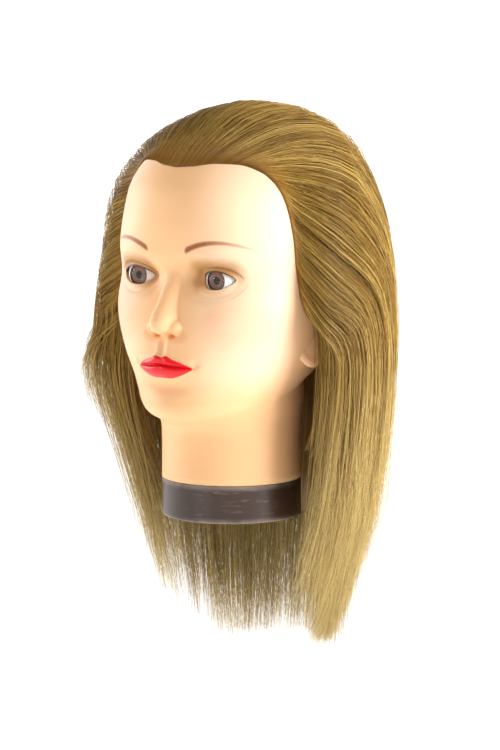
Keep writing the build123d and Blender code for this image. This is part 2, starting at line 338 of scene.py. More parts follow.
class Finish:
    """A material, its Principled shader and the patterns that feed it."""

    def __init__(self, name, **constants):
        self.material = bpy.data.materials.new(name)
        self.material.use_nodes = True
        self.tree = self.material.node_tree
        self.shader = self.tree.nodes["Principled BSDF"]
        for label, number in constants.items():
            self.shader.inputs[label.replace("_", " ")].default_value = number
        print("finish", name)

    def node(self, kind, settings=None, inputs=None, output=0):
        """A new shader node with its settings; inputs are numbers or values to link."""
        node = self.tree.nodes.new(kind)
        for label, setting in (settings or {}).items():
            setattr(node, label, setting)
        for key, value in (inputs or {}).items():
            if isinstance(value, Value):
                self.tree.links.new(value.socket, node.inputs[key])
            else:
                node.inputs[key].default_value = value
        return Value(self, node.outputs[output])

    def place(self):
        """Object coordinates in metres, as a vector."""
        return self.node("ShaderNodeTexCoord", output="Object")

    def split(self, vector):
        """The x, y and z of a vector, as three values."""
        first = self.node("ShaderNodeSeparateXYZ", inputs={0: vector})
        return first, Value(self, first.socket.node.outputs[1]), Value(self, first.socket.node.outputs[2])

    def noise(self, vector, scale, detail=3.0, roughness=0.5):
        return self.node("ShaderNodeTexNoise", inputs={
            "Vector": vector, "Scale": scale, "Detail": detail, "Roughness": roughness})

    def stretch(self, vector, *scale):
        """The vector with each axis scaled, so a noise over it turns into streaks."""
        return self.node("ShaderNodeMapping", inputs={"Vector": vector, "Scale": scale})

    def blend(self, amount, first, second):
        """The first colour where amount is 0 and the second where it is 1."""
        return self.node("ShaderNodeMix", {"data_type": "RGBA"}, {0: amount, 6: first, 7: second}, output=2)

    def feed(self, **sockets):
        """Links values to the shader's inputs of these names."""
        for label, value in sockets.items():
            self.tree.links.new(value.socket, self.shader.inputs[label.replace("_", " ")])
        return self

    def bump(self, height, strength, distance):
        """Fine relief, with its depth in metres."""
        return self.feed(Normal=self.node("ShaderNodeBump", inputs={
            "Strength": strength, "Distance": distance, "Height": height}))


def tint(red, green, blue):
    """A colour from 0 to 255 per channel, as screens show it, turned into the linear light a shader works in."""
    shares = (c / 255 for c in (red, green, blue))
    return tuple(c / 12.92 if c < 0.0405 else ((c + 0.055) / 1.055) ** 2.4 for c in shares) + (1.0,)


# %% [markdown]
# ## Vinyl skin
#
# The skin is tinted soft vinyl with a blush on the cheeks and thin brows. Painted shade darkens the eye sockets, the
# creases above the lids and beside the nose, and the chin and neck below the jaw; a painted highlight pales the sides
# of the face. Masks worked out from the surface's own place stay sharp at any distance, which an image would not. Light
# enters soft vinyl a little and comes out warmer, so the finish scatters light.

# %% The skin's finish, with painted brows, painted shade and a painted highlight
BLUSH_AND_PAINTED_SHADE = (
    # middle and half size in mm, where the mask starts and is full, strength, colour
    # painted shade: the eye socket darkened as a recess in shade
    ((32.5, 172.5), (21.0, 12.5), (1.25, 0.1), 0.62, (190, 136, 72)),  # eye socket
    ((48.0, 139.0), (20.0, 17.0), (1.6, 0.0), 0.22, (246, 150, 104)),  # cheek
    # painted shade in the crease beside the nose wing
    ((11.0, 131.0), (8.0, 5.0), (1.5, 0.2), 0.35, (214, 142, 72)),  # beside the nose
)


def oval_mask(across, up, centre, half):
    """The squared distance from an oval's middle, 1 on its edge; centre and half sizes in mm."""
    return (((across - centre[0] * MM) / (half[0] * MM)) ** 2.0
            + ((up - centre[1] * MM) / (half[1] * MM)) ** 2.0)


def vinyl_skin():
    """Two close skin tones, a painted highlight on the sides of the face, painted shade and blush one by one, then
    brows stroke by stroke, then painted shade at the lids and under the jaw.
    """
    skin = Finish("vinyl_skin", Roughness=0.42, IOR=1.46, Subsurface_Weight=0.22, Subsurface_Scale=0.006,
                  Subsurface_Radius=(1.0, 0.42, 0.2), Coat_Roughness=0.3)
    place = skin.place()
    x, y, z = skin.split(place)
    side = abs(x)
    mottle = skin.noise(place, 45.0, 4.0)
    broad = skin.noise(place, 12.0, 2.0)
    colour = skin.blend(mottle * 0.35 + broad * 0.25, tint(250, 201, 148), tint(244, 184, 128))
    front = y.ramp(-0.03, -0.045)
    # painted highlight: the sides of the face, from the cheeks up, paled towards cream as strong side light bleaches
    # them
    pale_lit_sides = side.ramp(0.01, 0.05) * z.ramp(0.085, 0.11) * y.ramp(-0.005, -0.035)
    colour = skin.blend(pale_lit_sides * 0.55, colour, tint(254, 226, 198))
    # painted shade in the eye sockets and beside the nose, and a real blush on the cheeks
    for middle, half, fade, strength, shade in BLUSH_AND_PAINTED_SHADE:
        mask = oval_mask(side, z, middle, half).ramp(*fade) * front * strength
        colour = skin.blend(mask, colour, tint(*shade))
    along = (side - 0.0378) / 0.022
    arch = 0.1945 - along ** 2.0 * 0.0062
    stroke = skin.noise(skin.stretch(place, 1.0, 0.4, 0.35), 1600.0, 2.0)
    thickness = (0.0016 - along * 0.00085) * along.ramp(1.08, 0.6) * along.ramp(-1.12, -0.92)
    brow = (abs(z - arch) / thickness.math("MAXIMUM", 0.00004)).ramp(1.3, 0.35)
    brow = brow * front * abs(along).ramp(1.06, 0.94)
    colour = skin.blend(brow * (0.85 + stroke * 0.3) * along.ramp(1.7, -0.8), colour, tint(158, 82, 34))
    # painted shade in the creases above the upper lids
    lid = z.ramp(0.1665, 0.1745) * z.ramp(0.186, 0.176) * side.ramp(0.014, 0.022) * side.ramp(0.054, 0.044)
    colour = skin.blend(lid * front * 0.7, colour, tint(166, 118, 54))
    # painted shade: the chin and neck darker and warmer below the jaw
    colour = skin.blend(z.ramp(0.098, 0.07) * 0.22, colour, tint(232, 178, 118))
    skin.feed(Base_Color=colour, Roughness=0.38 + mottle * 0.12 + broad * 0.05)
    pores = skin.noise(place, 900.0, 3.0, 0.6)
    return skin.bump(pores + broad * 0.6, 0.12, 0.0004).material


def liner_paint():
    """The brown line along the edges of the lids."""
    liner = Finish("lid_liner", Roughness=0.4, IOR=1.46)
    place = liner.place()
    cloud = liner.noise(place, 500.0, 3.0)
    return liner.feed(Base_Color=liner.blend(cloud, tint(72, 46, 22), tint(118, 80, 42))).material


SKIN, LINER = vinyl_skin(), liner_paint()

# %% [markdown]
# ## The skin's surface
#
# The skin is one closed sheet from the edge in the base cap up to the crown. Its columns crowd across the face and its
# rows at the mouth, nose and eyes, where the forms turn quickly. Behind the eyelids it steps back, because the lids
# are a finer sheet of their own.


# %% The head's sheet
def skin_points(rows=262, columns=368):
    """Ovals through the head's slices, moved forward to the features' depth on the face."""
    share = np.linspace(0, 1, columns, endpoint=False)
    angle = np.radians(np.interp(share, (0, 0.08, 0.17, 0.5, 0.83, 0.92, 1.0), (-180, -84, -47, 0, 47, 84, 180)))
    height = np.interp(np.linspace(0, 1, rows), (0, 0.04, 0.12, 0.20, 0.27, 0.37, 0.44, 0.54, 0.66, 0.88, 0.93, 1.0),
                       (0, 2, 5, 7, 8.3, 9.3, 9.85, 10.15, 11.0, 12.6, 14, 20))
    plain = oval(through(HEAD, height)[:, None, :], angle[None, :])
    x, y, z = plain[..., 0], plain[..., 1], plain[..., 2]
    facing = smooth_step(-18, -42, y)
    moved = y + (features(x, y, z) - y) * facing * smooth_step(66, 72, z)
    behind_lids = smooth_step(1.0, 0.8, eye_oval(x, z, 20.0, 14.0)) * facing
    moved = moved + (np.maximum(moved, EYE_Y + 4) - moved) * behind_lids
    upper, lower = lip_edges(x)
    above = z - mouth_line(x)
    under_paint = (smooth_step(1.0, 0.8, np.abs(x) / MOUTH_HALF)
                   * smooth_step(1.0, 0.75, above / np.maximum(upper, 0.3))
                   * smooth_step(-1.0, -0.85, above / np.maximum(lower, 0.3)))
    return np.stack([x, moved + 1.2 * under_paint * facing, z], axis=-1)


def eye_oval(x, z, half_width, half_height):
    """The squared distance from the nearer eye's centre, 1 on an oval of these half sizes."""
    return ((np.abs(x) - EYE_X) / half_width) ** 2 + ((z - EYE_Z) / half_height) ** 2


add_piece("head_skin_face", *closed_tube(skin_points()), (SKIN,))

# %% [markdown]
# ## Foam filling
#
# Foam fills the skin. It is one closed sheet: up the outside just within the skin, over the crown, and in and up round
# the clamp socket below. It keeps clear of the backs of the eyes.


# %% Foam inside the skin
FOAM_DEPTH = 6.0
BEHIND_EYES_Y = -32.0
# radius and height, from the bore's closed end down to its mouth
FOAM_BORE = ((0.4, 99.0), (12.0, 99.0), (17.2, 98.4), (17.2, 70.0), (17.2, 40.0), (17.2, 27.4))


def foam_points(columns=144):
    """Ovals a few millimetres inside the skin, joined below to a round bore that ends above the socket."""
    angle = full_turn(columns) - np.pi
    level = np.linspace(0.05, 19.3, 110)
    plain = oval(through(HEAD, level)[:, None, :], angle)
    none = np.zeros_like(level)
    middle = np.stack([none, np.interp(level, (0, 5, 9, 20), (0, 4, 14, 20)), none], axis=-1)
    spoke = (plain - middle[:, None, :]) * np.array([1.0, 1.0, 0.0])
    length = np.linalg.norm(spoke, axis=-1, keepdims=True)
    outside = plain - spoke / length * np.minimum(FOAM_DEPTH, 0.6 * length)
    outside[..., 2] -= 4.5 * smooth_step(235, 272, outside[..., 2])
    x, y, z = np.moveaxis(outside, -1, 0)
    near_eye = smooth_step(1.0, 0.8, eye_oval(x, z, 22.0, 19.0)) * (y < 0)
    outside[..., 1] = y + (np.maximum(y, BEHIND_EYES_Y) - y) * near_eye
    radius, height = np.array(FOAM_BORE).T[:, :, None]
    bore = np.stack([radius * np.sin(angle), -radius * np.cos(angle), height + 0 * angle], axis=-1)
    return np.concatenate([bore, outside])


foam_piece = add_piece("foam_filling", *closed_tube(foam_points()), slot="foam", stands_for=("foam_core",))

# %% [markdown]
# ## Eyelids
#
# Each pair of lids is a ring-shaped sheet: the almond opening, the lid's thickness, the lid round the eyeball, a
# crease, and an outer edge exactly on the face. Its finer grid gives a clean, rounded edge against the eye. The first
# rings of the upper lid take the liner's finish, so the painted line keeps a sharp edge.


# %% Lids from the almond opening out to the face
LID_TURNS = 176
LID_THICKNESS = 1.75
EDGE_SHARE = 0.12
ALMOND_OUTER, ALMOND_INNER, ALMOND_RISE = 13.9, 12.3, 6.1


def almond(turn):
    """The opening: a wide oval with pointed corners, lifted towards the temple."""
    sine, cosine = np.sin(turn), np.cos(turn)
    across = np.where(cosine > 0, ALMOND_OUTER, ALMOND_INNER) * cosine
    rise = np.abs(sine) ** 1.35
    up = np.where(sine > 0, ALMOND_RISE, -ALMOND_RISE) * rise + 0.5 * cosine
    return across, up


def lid_points(side, rings=58):
    """Between the opening and an outer oval, the depth is the smooth maximum of the lid's ball and the face."""
    turn = full_turn(LID_TURNS)
    sine, cosine = np.sin(turn), np.cos(turn)
    share = np.linspace(0, 1, rings)[:, None]
    inner_a, inner_b = almond(turn)
    outer_a, outer_b = 21.5 * cosine, np.where(sine > 0, 16.0, 14.8) * sine
    out = np.clip((share - EDGE_SHARE) / (1 - EDGE_SHARE), 0, 1) ** 1.35
    a = inner_a + (outer_a - inner_a) * out
    b = inner_b + (outer_b - inner_b) * out
    x, z = side * (EYE_X + a), EYE_Z + b
    ground = face(x, z)
    flat = np.sqrt(a ** 2 + b ** 2)
    ball_radius = EYE_RADIUS + LID_THICKNESS
    ball = -EYE_Y + np.sqrt(np.clip(ball_radius ** 2 - flat ** 2, 0, None)) - np.clip(flat - ball_radius, 0, None) * 3
    beyond = np.sqrt((a - inner_a) ** 2 + (b - inner_b) ** 2)
    crease = hump(beyond, 3.6, 0.8) * smooth_step(0.0, 0.5, sine)
    below = hump(beyond, 4.6, 1.4) * smooth_step(-0.2, -0.8, sine)
    fold = hump(beyond, 5.2, 1.2) * smooth_step(0.1, 0.6, sine)
    ahead = melt(-ground, ball, 2.6) - 1.15 * crease - 0.35 * below + 0.5 * fold
    ahead = -ground + (ahead + ground) * smooth_step(1.0, 0.72, share) + 0.05
    ahead = ahead - 5.0 * hump(a, -13.0, 5.0) * hump(b, 0, 5.5) * smooth_step(1.0, 0.55, share)
    eye_front = -EYE_Y + np.sqrt(np.clip((EYE_RADIUS - 0.5) ** 2 - flat ** 2, 0, None))
    corner = smooth_step(10.8, ALMOND_OUTER, inner_a)
    eye_front = eye_front * (1 - corner) + (ahead - 2.4) * corner
    rounded = np.sin(np.clip(share / EDGE_SHARE, 0, 1) * np.pi / 2)
    ahead = np.where(share < EDGE_SHARE, eye_front + (ahead - eye_front) * rounded, ahead)
    return np.stack([x, -ahead, z], axis=-1)


SIDES = (("left", 1), ("right", -1))
for name, side in SIDES:
    ring = lid_points(side)[:, ::-side]
    lids = add_piece(f"eyelids_{name}", ring.reshape(-1, 3), sheet_faces(*ring.shape[:2], ring=True), (SKIN, LINER))
    ring_number, turn_number = np.divmod(np.arange(len(lids.data.polygons)), LID_TURNS)
    up = np.sin(2 * np.pi * (turn_number if side < 0 else LID_TURNS - 1 - turn_number) / LID_TURNS)
    painted_rings = np.where(up > 0.1, 7 + 9 * np.clip(up, 0, 1) ** 0.6, 0)
    lids.data.polygons.foreach_set("material_index", (ring_number < painted_rings).astype(np.int32))

# %% [markdown]
# ## Ears
#
# The ears are part of the same moulding. Each is a closed disc whose height makes the rolled rim, the inner ridge and
# the bowl; its outer rows turn under and meet the head.


# %% Ears from rings
EAR_X, EAR_Y, EAR_Z = 67.4, 2.5, 135.0


def ear_points(side, rings=44, turns=112):
    """Rings from the middle to the rim and round to the back; height is a sum of ridges and a bowl."""
    turn = full_turn(turns)
    sine, cosine = np.sin(turn), np.cos(turn)
    share = np.linspace(0.02, 1.28, rings)[:, None]
    spread = np.where(share < 1, share, 1 - (share - 1) * 0.9)
    wide = 15.5 * (1 + 0.16 * sine) * (1 - 0.1 * cosine)
    u, w = spread * wide * cosine, spread * 28.5 * sine
    rim = 3.2 * hump(share, 0.88, 0.1) * (0.3 + 0.7 * smooth_step(-0.7, 0.2, sine))
    ridge = 2.4 * hump(share, 0.56, 0.09) * smooth_step(-0.6, 0.3, np.cos(turn - 0.5))
    bowl = 3.6 * hump(u, -2, 6.5) * hump(w, -2, 9.5)
    lobe = 0.5 * hump(u, 0, 6) * hump(w, -21, 7)
    height = 5.0 + 0.3 * u + rim + ridge - bowl + lobe
    height = np.where(share > 0.96, height - 38 * (share - 0.96) ** 1.15, height)
    x = side * (EAR_X + height * 0.9 + 0.27 * u + 0.07 * w)
    return np.stack([x, EAR_Y + u * 0.94 + 0.12 * w, EAR_Z + w], axis=-1)


for name, side in SIDES:
    add_piece(f"ear_{name}", *closed_tube(ear_points(side)[::-1, ::side]), (SKIN,))

# %% [markdown]
# ## Painted lips
#
# The lips are sprayed through a mask with a glossy red lacquer. The lacquer is its own thin sheet, a hair's breadth
# above the moulded lips, and ends in a clean edge where the mask ended.


# %% Lacquer over the lips
def lip_paint():
    """Red with painted shade along the crease where the lips meet, and fine upright wrinkles."""
    lips = Finish("lip_lacquer", Roughness=0.3, IOR=1.4, Coat_Weight=0.35, Coat_Roughness=0.12)
    place = lips.place()
    x, y, z = lips.split(place)
    cloud = lips.noise(place, 160.0, 3.0)
    # painted shade: a darker red line in the crease where the lips meet
    line = (abs(z - MOUTH_Z * MM - 0.0004)).ramp(0.0013, 0.0002)
    colour = lips.blend(cloud * 0.5, tint(244, 3, 22), tint(224, 2, 20))
    lips.feed(Base_Color=lips.blend(line * 0.3, colour, tint(190, 0, 20)), Roughness=0.28 + cloud * 0.14)
    return lips.bump(lips.noise(lips.stretch(place, 1.0, 0.25, 0.25), 900.0, 2.0), 0.25, 0.0004).material


def lip_points(columns=150, rows=70):
    """Columns across the mouth, rows from the lower edge to the upper edge, on the moulded lips."""
    x = MOUTH_HALF * 0.995 * np.sin(np.linspace(-np.pi / 2, np.pi / 2, columns))[None, :]
    upper, lower = lip_edges(x)
    share = np.linspace(-1, 1, rows)[:, None]
    z = mouth_line(x) + np.where(share > 0, share * upper, share * lower)
    lift = 0.16 * np.sqrt(np.clip(1 - np.abs(share) ** 6, 0, 1)) * np.ones_like(x) - 0.03
    x = x + 0 * z
    return np.stack([x, face(x, z) - lift, z], axis=-1)


paint = lip_points()
add_piece("lip_lacquer", paint.reshape(-1, 3), sheet_faces(*paint.shape[:2]), (lip_paint(),))

# %% [markdown]
# ## Eyes
#
# The eyes are made like glass eyes: a white ball with a small pocket, an iris on the pocket's floor, and a clear dome
# over it, each a profile turned about the line of sight. The iris sits deep in its pocket under a mostly see-through,
# reflective dome, which gives it depth; a painted ball would look flat.


# %% Turned pieces of the eye
def turned(name, side, profile, finish, node, slot, turns=96):
    """A profile of radius and distance ahead of the eye's centre, turned about the line of sight."""
    radius, ahead = np.array(profile, dtype=float).T[:, :, None]
    turn = full_turn(turns)
    x = side * EYE_X + radius * np.cos(turn)
    ring = np.stack([x, EYE_Y - ahead + 0 * turn, EYE_Z + radius * np.sin(turn)], axis=-1)
    add_piece(name, *closed_tube(ring), (finish,), slot=slot, stands_for=(node,))


def round_profile(start, end, steps, radius, centre=0.0):
    """Points of an arc of the ball, by angle from the line of sight in degrees."""
    a = np.radians(np.linspace(start, end, steps))
    return list(zip(radius * np.sin(a), centre + radius * np.cos(a)))


LIMBUS = 6.9  # radius of the iris's edge
RIM = float(np.sqrt(EYE_RADIUS ** 2 - LIMBUS ** 2))
FLOOR = RIM - 1.4
WALL = LIMBUS + 0.12
APEX = EYE_RADIUS + 0.9
DOME = (LIMBUS ** 2 + (APEX - RIM) ** 2) / (2 * (APEX - RIM))


def eye_place(finish):
    """A place, and across and up from the nearer eye's centre in metres, with across away from the nose."""
    place = finish.place()
    x, _, z = finish.split(place)
    return place, abs(x) - EYE_X * MM, z - EYE_Z * MM


def eye_white_finish():
    """Warm white, pink towards the nose, with a dark ring round the iris."""
    white = Finish("eye_white", Roughness=0.12, IOR=1.5, Coat_Weight=0.8, Coat_Roughness=0.03)
    place, across, up = eye_place(white)
    away = (across ** 2.0 + up ** 2.0) ** 0.5
    cloud = white.noise(place, 220.0, 3.0)
    colour = white.blend(cloud * 0.3, tint(252, 249, 242), tint(240, 230, 216))
    colour = white.blend(across.ramp(-0.008, -0.0135) * 0.5, colour, tint(226, 150, 130))
    return white.feed(Base_Color=white.blend(away.ramp(0.0077, 0.007) * 0.95, colour, tint(78, 56, 44))).material


def iris_finish():
    """Brown fibres that run outwards, a dark outer ring and a black pupil."""
    iris = Finish("iris", Roughness=0.35)
    _, across, up = eye_place(iris)
    away = (across ** 2.0 + up ** 2.0) ** 0.5 * 1000.0
    turn = up.math("ARCTAN2", across)
    fibre_place = iris.node("ShaderNodeCombineXYZ", inputs={0: turn * 9.0, 1: away * 0.5})
    fibres = iris.noise(fibre_place, 2.6, 4.0, 0.65)
    colour = iris.blend(fibres.ramp(0.35, 0.68), tint(122, 80, 62), tint(190, 142, 116))
    colour = iris.blend(away.ramp(3.6, 2.6) * 0.5, colour, tint(132, 80, 54))
    colour = iris.blend(away.ramp(5.4, 6.7), colour, tint(30, 20, 16))
    return iris.feed(Base_Color=iris.blend(away.ramp(2.75, 2.5), colour, tint(4, 3, 3))).material


def clear_dome():
    """Mostly see-through, and strongly reflective at a slant."""
    clear = Finish("clear_dome", Roughness=0.03, IOR=2.0, Alpha=0.12)
    place = clear.place()
    cloud = clear.noise(place, 300.0, 2.0)
    return clear.feed(Base_Color=clear.blend(cloud, tint(6, 6, 8), tint(14, 12, 14))).material


WHITE, IRIS, CLEAR = eye_white_finish(), iris_finish(), clear_dome()
for name, side in SIDES:
    ball = round_profile(float(np.degrees(np.arcsin(WALL / EYE_RADIUS))), 178, 60, EYE_RADIUS)
    pocket = [(0.4, FLOOR), (3.0, FLOOR), (LIMBUS + 0.1, FLOOR), (WALL, FLOOR + 0.2), (WALL, RIM - 0.4)]
    turned(f"eye_ball_{name}", side, (pocket + ball)[::-1], WHITE, f"eye_white_{name}", "eye_white")
    disc = [(0.3, FLOOR + 0.05), (LIMBUS, FLOOR + 0.05), (LIMBUS, FLOOR + 0.6)] + [
        (r, FLOOR + 0.35 + 0.25 * (r / LIMBUS) ** 2) for r in np.linspace(LIMBUS - 0.1, 0.1, 24)]
    turned(f"eye_iris_disc_{name}", side, disc, IRIS, f"eye_iris_{name}", "iris")
    lens = [(0.3, FLOOR + 0.75), (LIMBUS - 0.05, FLOOR + 0.75)] + round_profile(
        float(np.degrees(np.arcsin(LIMBUS / DOME))), 1.0, 30, DOME, APEX - DOME)
    turned(f"eye_dome_{name}", side, lens, CLEAR, f"eye_cornea_{name}", "cornea")

# %% [markdown]
# ## Base cap, socket, screws, seal and foam
#
# The CAD shape of the cap, socket, screws and seal is already right, so they keep it and only get a finish: glossy dark
# plastic with a painted highlight along its rims and paler streaks of wear, dull black plastic, zinc and latex. The
# foam made above gets its finish here too.


# %% Finishes of the carried-over parts
def cap_finish():
    """Dark brown in clouds, with a painted highlight paler along both rims and paler streaks of wear round the cap."""
    cap = Finish("cap_plastic", Roughness=0.36, IOR=1.45, Coat_Weight=0.22, Coat_Roughness=0.14)
    place = cap.place()
    x, y, z = cap.split(place)
    cloud = cap.noise(place, 26.0, 4.0, 0.6)
    streak = cap.noise(cap.stretch(place, 0.25, 0.25, 2.0), 260.0, 4.0, 0.6)
    # painted highlight: a paler band broken by clouds along both rims, where the glossy rims catch light
    edge = abs(z - 0.013).ramp(0.0085, 0.0128)
    # the painted rim highlight together with real wear streaks, both paler and rougher
    rim_sheen_and_wear = edge * cloud.ramp(0.3, 0.62) * 0.75 + streak.ramp(0.56, 0.74) * cloud.ramp(0.42, 0.62) * 0.5
    colour = cap.blend(cloud, tint(38, 24, 16), tint(70, 48, 34))
    cap.feed(Base_Color=cap.blend(rim_sheen_and_wear, colour, tint(140, 124, 110)), Roughness=0.28 + rim_sheen_and_wear * 0.35 + cloud * 0.12)
    return cap.bump(streak, 0.15, 0.0003).material


def plain_finish(name, first, second, scale, roughness, depth, metallic=0.0):
    """Two close tones in a cloud, with the same cloud as fine relief."""
    part = Finish(name, Roughness=roughness, Metallic=metallic)
    place = part.place()
    cloud = part.noise(place, scale, 4.0, 0.6)
    part.feed(Base_Color=part.blend(cloud, tint(*first), tint(*second)), Roughness=roughness - 0.08 + cloud * 0.16)
    return part.bump(cloud, 0.4, depth).material


FINISHES = {
    "base_cap": cap_finish(),
    "clamp_socket": plain_finish("socket_plastic", (22, 21, 22), (44, 42, 42), 420.0, 0.5, 0.0003),
    "base_screws": plain_finish("zinc", (168, 168, 172), (206, 204, 198), 900.0, 0.34, 0.0001, 1.0),
    "root_seal": plain_finish("latex", (226, 208, 172), (206, 186, 146), 300.0, 0.55, 0.0003),
}
foam_piece.data.materials.append(
    plain_finish("rigid_foam", (232, 214, 158), (206, 184, 124), 700.0, 0.85, 0.0006))
for node, finish in FINISHES.items():
    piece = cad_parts[node]
    if not piece.data.materials:
        piece.data.materials.append(finish)
    for material_slot in piece.material_slots:
        material_slot.material = finish

# %% [markdown]
# ## The flow of the hair
#
# The hair is combed straight back from the forehead, sweeps over the crown and down past the temples, and hangs free
# below the ears. Each flow line starts at the hairline, bends over the skull towards its own bearing, and then drops.
# The number `lane` runs from 0 at the middle of the forehead to 1 at the left sideburn and -1 at the right. Lane and
# distance along the line make a chart of all the hair.

# %% Outlines of the hair by height
AXIS_Y = 16.0
CENTRE = np.array([0.0, AXIS_Y, 186.0])
LOWEST_CLIMB = -40
HAIR = np.array([(z, z, half_width, front, back, 2.0) for z, half_width, front, back in (
    # height, half width, front, back
    (-102, 30, 48, 92),
    (-66, 58, 8, 100),
    (-38, 74, -30, 104),
    (-5, 82, -60, 106),
    (22, 86, -66, 109),
    (47, 92, -72, 114),
    (73, 104, -76, 122),
    (93, 109, -78, 127),
    (110, 108.5, -78, 127.5),
    (147, 103.5, -78, 127),
    (182, 98.5, -78, 125),
    (207, 94.5, -77, 122),
    (229, 88, -74, 117),
    (250, 76, -65, 105),
    (267, 57, -45, 84),
    (278, 34, -18, 60),
    (284, 1, 20, 24),
)])


def direction(bearing, climb):
    """A unit vector from a bearing off the face, towards +X, and an angle above level, both in degrees."""
    bearing, climb = np.broadcast_arrays(np.radians(bearing), np.radians(climb))
    return np.stack([np.cos(climb) * np.sin(bearing), -np.cos(climb) * np.cos(bearing), np.sin(climb)], axis=-1)


def reach_table(stations, bearings=145, climbs=101):
    """Distance from the centre to an outline for a fan of directions, each found by halving 24 times."""
    ray = direction(np.linspace(-180, 180, bearings)[None, :], np.linspace(LOWEST_CLIMB, 90, climbs)[:, None])
    near, far = np.zeros(ray.shape[:2]), np.full(ray.shape[:2], 260.0)
    for _ in range(24):
        middle = (near + far) / 2
        x, y, z = np.moveaxis(CENTRE + ray * middle[..., None], -1, 0)
        s = station_at(stations, z, y)
        mid_y = (s[..., 3] + s[..., 4]) / 2
        depth = np.where(y < mid_y, mid_y - s[..., 3], s[..., 4] - mid_y)
        power = np.where(y < mid_y, s[..., 5], 2.0)
        value = np.abs(x / s[..., 2]) ** power + np.abs((y - mid_y) / depth) ** power
        outside = (value > 1) | (z > stations[-1, 0])
        near, far = np.where(outside, near, middle), np.where(outside, middle, far)
    return near


def look_up(table, ray):
    """The table's distance for a direction, mixed from its four neighbours."""
    bearing = np.degrees(np.arctan2(ray[..., 0], -ray[..., 1]))
    climb = np.degrees(np.arcsin(np.clip(ray[..., 2], -1, 1)))
    u = (bearing + 180) / 360 * (table.shape[1] - 1)
    v = (np.clip(climb, LOWEST_CLIMB, 90) - LOWEST_CLIMB) / (90 - LOWEST_CLIMB) * (table.shape[0] - 1)
    i = np.clip(np.floor(u).astype(int), 0, table.shape[1] - 2)
    j = np.clip(np.floor(v).astype(int), 0, table.shape[0] - 2)
    u, v = u - i, v - j
    return ((table[j, i] * (1 - u) + table[j, i + 1] * u) * (1 - v)
            + (table[j + 1, i] * (1 - u) + table[j + 1, i + 1] * u) * v)


SCALP = reach_table(HEAD)
OUTLINE = reach_table(HAIR)
print("scalp reach", SCALP.min().round(1), SCALP.max().round(1))

# %% Hairline, bearings and flow lines
HAIRLINE = np.array([
    # x, y, z of the hairline from the middle of the forehead to the sideburn
    (0, -60.5, 242.5), (12, -59.8, 244.5), (27, -55.5, 249), (41, -48.5, 250), (53, -39.5, 245),
    (61, -31.5, 234), (66, -26, 218), (69, -23, 198), (70.5, -21.5, 178), (71.5, -18.5, 158),
])
# where flow lines bend and where they leave the skull, for these sizes of lane, in degrees
BEND_LANES = (0, 0.3, 0.6, 0.85, 1)
BEND_BEARING, BEND_CLIMB = (180, 102, 74, 67, 67), (88, 53, 4, -22, -30)
END_CLIMB = (2, -5, -15, -25, -33)
LEFT_SPREAD, RIGHT_SPREAD = 104, 115
SKULL_STEPS, HANGING_STEPS = 13, 8


def unit(vector):
    """The vector with length 1."""
    return vector / np.linalg.norm(vector, axis=-1, keepdims=True)


def end_bearing(lane):
    """Where a lane hangs: the middle lanes behind the head, the outer ones beside the face."""
    return 180 - np.where(lane < 0, RIGHT_SPREAD, LEFT_SPREAD) * np.abs(lane) ** 0.85


def over_skull(lane, share):
    """The direction of a flow line at a share from the hairline, 0, to where it hangs, 1.

    Start, bend and end are mixed by (1 - t) squared, 2 t (1 - t) and t squared.
    """
    size, side = np.abs(lane), np.sign(lane + 1e-9)
    root = through(HAIRLINE, size * (len(HAIRLINE) - 1))
    root[..., 0] *= np.sign(lane)
    bend = direction(np.interp(size, BEND_LANES, BEND_BEARING) * side, np.interp(size, BEND_LANES, BEND_CLIMB))
    end = direction(end_bearing(lane) * side, np.interp(size, BEND_LANES, END_CLIMB))
    t = share[..., None]
    return unit(unit(root - CENTRE) * (1 - t) ** 2 + bend * 2 * t * (1 - t) + end * t ** 2)


